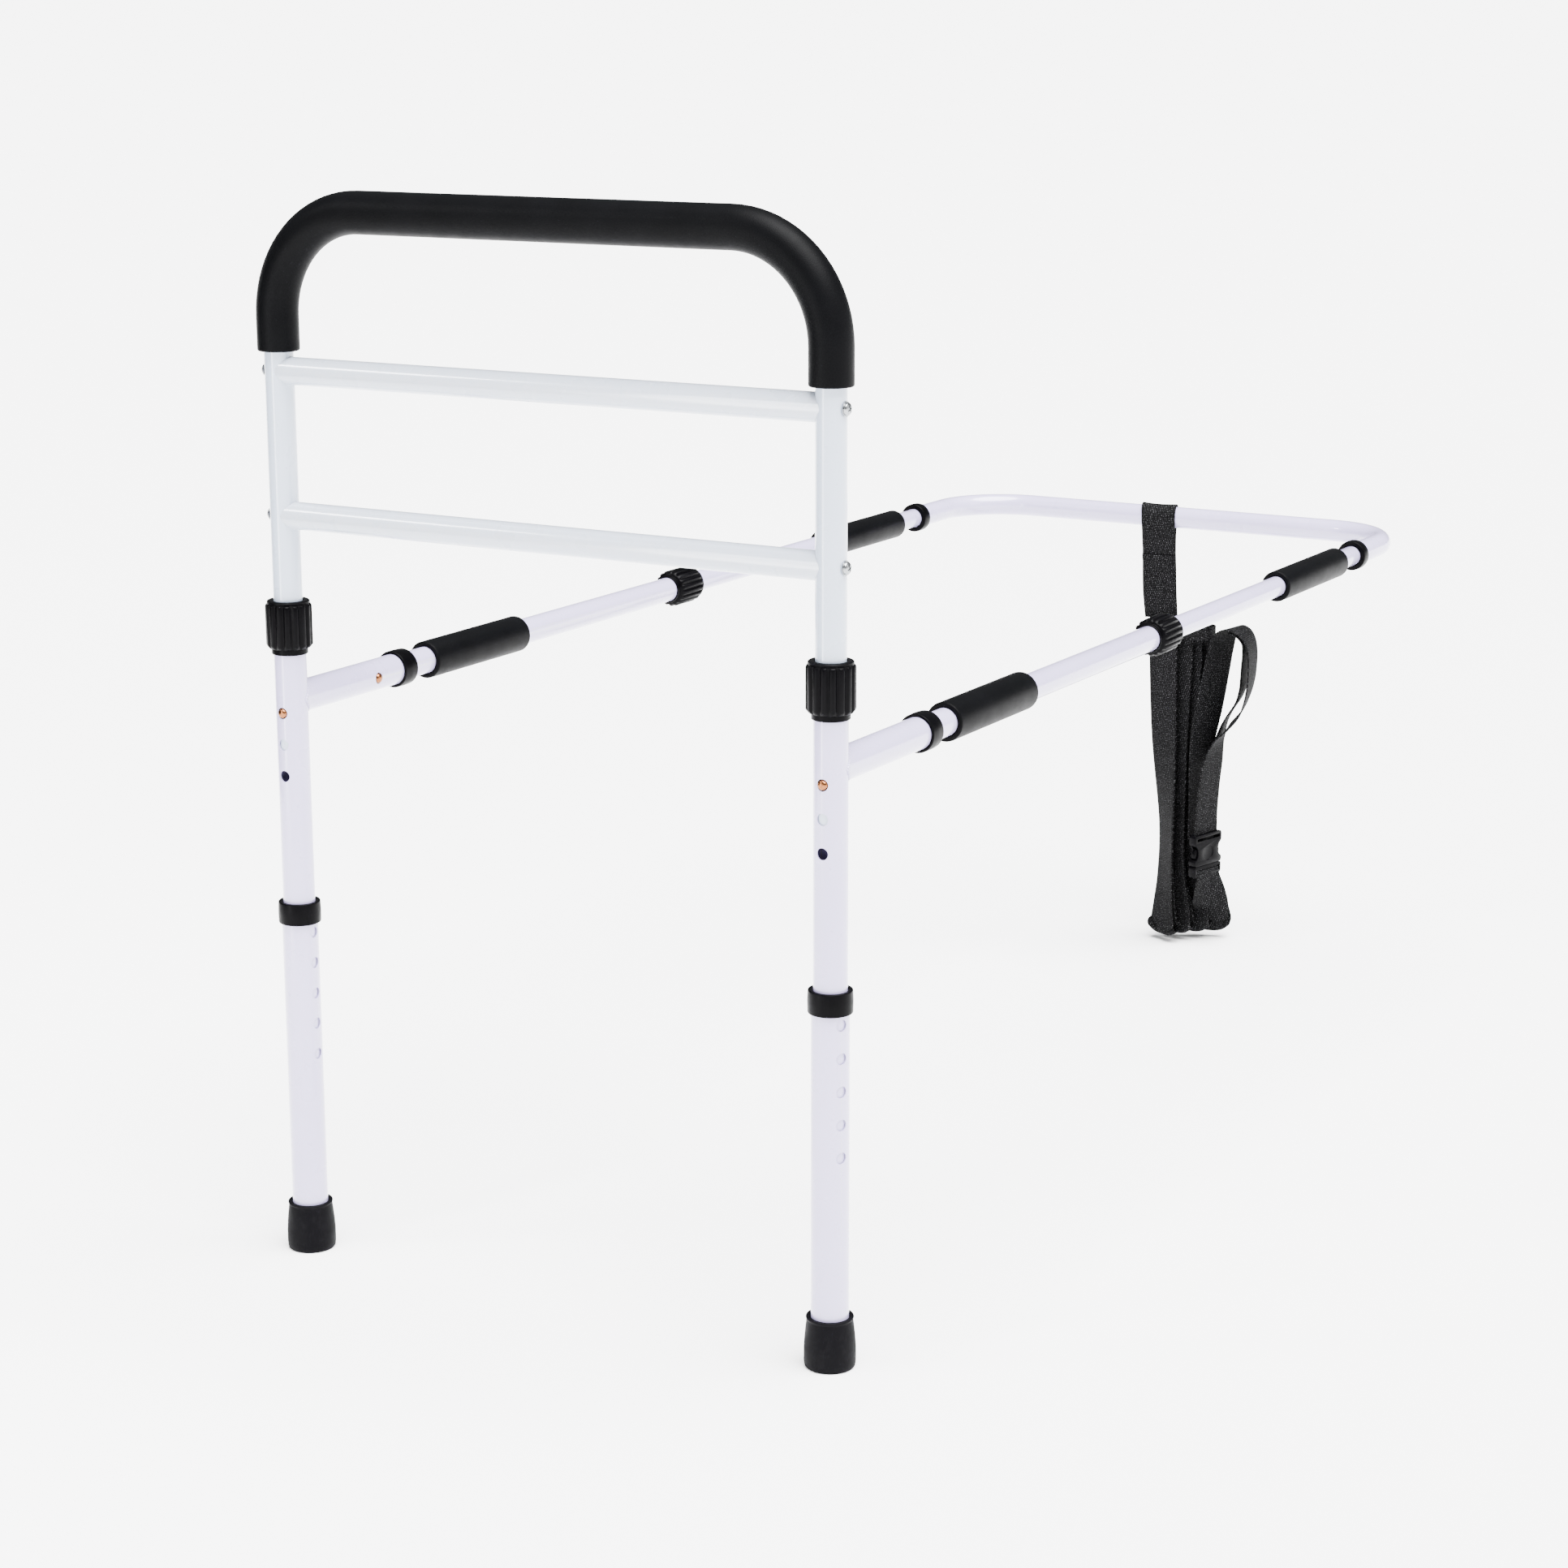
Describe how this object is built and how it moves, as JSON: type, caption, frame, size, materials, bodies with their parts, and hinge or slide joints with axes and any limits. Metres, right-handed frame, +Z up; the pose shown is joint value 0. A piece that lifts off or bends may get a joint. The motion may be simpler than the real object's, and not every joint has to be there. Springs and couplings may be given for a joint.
{
  "type": "bed assist rail",
  "caption": "Bed assist rail: bent-tube handrail with foam grip and cross rungs on telescoping legs, with a telescoping base frame that slides under the mattress and a strap that ties it down.",
  "frame": {"origin": "on the floor, under the middle of the rail's footprint", "axes": "+X along the handrail, +Y along the base arms towards the far side of the bed, +Z up"},
  "size_m": [0.5252, 1.2256, 0.8543],
  "materials": {
    "handrail_paint": "cool white gloss powder coat",
    "frame_paint": "white gloss powder coat",
    "foam": "satin black closed-cell foam",
    "black_plastic": "moulded black, slightly shiny",
    "rubber": "matt black rubber",
    "copper": "copper-coloured plating",
    "spring_steel": "plain spring steel",
    "zinc": "bright zinc plate",
    "webbing": "black woven webbing"
  },
  "bodies": {
    "base_frame": {"left_post": "frame_paint", "left_stub": "frame_paint", "left_stub_ring": "black_plastic", "left_near_arm": "frame_paint", "left_near_foam": "foam", "left_post_collet": "black_plastic", "left_arm_collet": "black_plastic", "left_leg_leaf_spring": "spring_steel", "left_arm_leaf_spring": "spring_steel", "right_post": "frame_paint", "right_stub": "frame_paint", "right_stub_ring": "black_plastic", "right_near_arm": "frame_paint", "right_near_foam": "foam", "right_post_collet": "black_plastic", "right_arm_collet": "black_plastic", "right_leg_leaf_spring": "spring_steel", "right_arm_leaf_spring": "spring_steel"},
    "handrail": {"handrail_hoop": "handrail_paint", "grip_foam": "foam", "upper_rung": "handrail_paint", "lower_rung": "handrail_paint", "upper_left_rung_plug": "zinc", "upper_left_rung_screw": "zinc", "upper_right_rung_plug": "zinc", "upper_right_rung_screw": "zinc", "lower_left_rung_plug": "zinc", "lower_left_rung_screw": "zinc", "lower_right_rung_plug": "zinc", "lower_right_rung_screw": "zinc", "left_height_leaf_spring": "spring_steel", "right_height_leaf_spring": "spring_steel"},
    "base_extension": {"left_far_arm": "frame_paint", "left_far_foam": "foam", "left_bar_ring": "black_plastic", "right_far_arm": "frame_paint", "right_far_foam": "foam", "right_bar_ring": "black_plastic", "far_bar": "frame_paint"},
    "strap": {"strap_webbing": "webbing", "strap_keeper": "webbing", "buckle_socket": "black_plastic"},
    "buckle_plug": {"buckle_plug": "black_plastic"},
    "left_leg": {"left_leg": "frame_paint", "left_leg_ring": "black_plastic", "left_rubber_tip": "rubber"},
    "left_post_nut": {"left_post_lock_nut": "black_plastic"},
    "left_arm_nut": {"left_arm_lock_nut": "black_plastic"},
    "left_height_button": {"left_height_button": "copper"},
    "left_leg_button": {"left_leg_button": "copper"},
    "left_arm_button": {"left_arm_button": "copper"},
    "right_leg": {"right_leg": "frame_paint", "right_leg_ring": "black_plastic", "right_rubber_tip": "rubber"},
    "right_post_nut": {"right_post_lock_nut": "black_plastic"},
    "right_arm_nut": {"right_arm_lock_nut": "black_plastic"},
    "right_height_button": {"right_height_button": "copper"},
    "right_leg_button": {"right_leg_button": "copper"},
    "right_arm_button": {"right_arm_button": "copper"}
  },
  "joints": [
    {"name": "handrail_height", "type": "slide", "parent": "base_frame", "child": "handrail", "axis": [0, 0, 1], "range_m": [-0.0508, 0], "deforming": ["left_height_button", "right_height_button"]},
    {"name": "base_length", "type": "slide", "parent": "base_frame", "child": "base_extension", "axis": [0, 1, 0], "range_m": [-0.2, 0.1]},
    {"name": "strap_swing", "type": "hinge", "parent": "base_extension", "child": "strap", "pos_m": [-0.0235, 0.5938, 0.458], "axis": [1, 0, 0], "range_deg": [-90, 90]},
    {"name": "buckle_release", "type": "slide", "parent": "strap", "child": "buckle_plug", "axis": [0, 0, -1], "range_m": [0, 0.026]},
    {"name": "left_leg_height", "type": "slide", "parent": "base_frame", "child": "left_leg", "axis": [0, 0, -1], "range_m": [0, 0.1016], "deforming": ["left_leg_button"]},
    {"name": "left_post_nut_turn", "type": "hinge", "parent": "base_frame", "child": "left_post_nut", "pos_m": [-0.243, -0.5932, 0.515], "axis": [0, 0, 1], "range_deg": [0, 180]},
    {"name": "left_arm_nut_turn", "type": "hinge", "parent": "base_frame", "child": "left_arm_nut", "pos_m": [-0.243, -0.0162, 0.458], "axis": [0, 1, 0], "range_deg": [0, 180]},
    {"name": "left_height_button_press", "type": "slide", "parent": "handrail", "child": "left_height_button", "axis": [0, 1, 0], "range_m": [0, 0.0032], "stiffness_N_per_m": 800, "deforming": ["left_height_leaf_spring"]},
    {"name": "left_leg_button_press", "type": "slide", "parent": "base_frame", "child": "left_leg_button", "axis": [0.9994, -0.0349, 0], "range_m": [0, 0.0032], "stiffness_N_per_m": 800, "deforming": ["left_leg_leaf_spring"]},
    {"name": "left_arm_button_press", "type": "slide", "parent": "base_frame", "child": "left_arm_button", "axis": [-1, 0, 0], "range_m": [0, 0.0032], "stiffness_N_per_m": 800, "deforming": ["left_arm_leaf_spring"]},
    {"name": "right_leg_height", "type": "slide", "parent": "base_frame", "child": "right_leg", "axis": [0, 0, -1], "range_m": [0, 0.1016], "deforming": ["right_leg_button"]},
    {"name": "right_post_nut_turn", "type": "hinge", "parent": "base_frame", "child": "right_post_nut", "pos_m": [0.243, -0.5932, 0.515], "axis": [0, 0, 1], "range_deg": [0, 180]},
    {"name": "right_arm_nut_turn", "type": "hinge", "parent": "base_frame", "child": "right_arm_nut", "pos_m": [0.243, -0.0162, 0.458], "axis": [0, 1, 0], "range_deg": [0, 180]},
    {"name": "right_height_button_press", "type": "slide", "parent": "handrail", "child": "right_height_button", "axis": [0, 1, 0], "range_m": [0, 0.0032], "stiffness_N_per_m": 800, "deforming": ["right_height_leaf_spring"]},
    {"name": "right_leg_button_press", "type": "slide", "parent": "base_frame", "child": "right_leg_button", "axis": [0.9063, -0.4226, 0], "range_m": [0, 0.0032], "stiffness_N_per_m": 800, "deforming": ["right_leg_leaf_spring"]},
    {"name": "right_arm_button_press", "type": "slide", "parent": "base_frame", "child": "right_arm_button", "axis": [1, 0, 0], "range_m": [0, 0.0032], "stiffness_N_per_m": 800, "deforming": ["right_arm_leaf_spring"]}
  ]
}
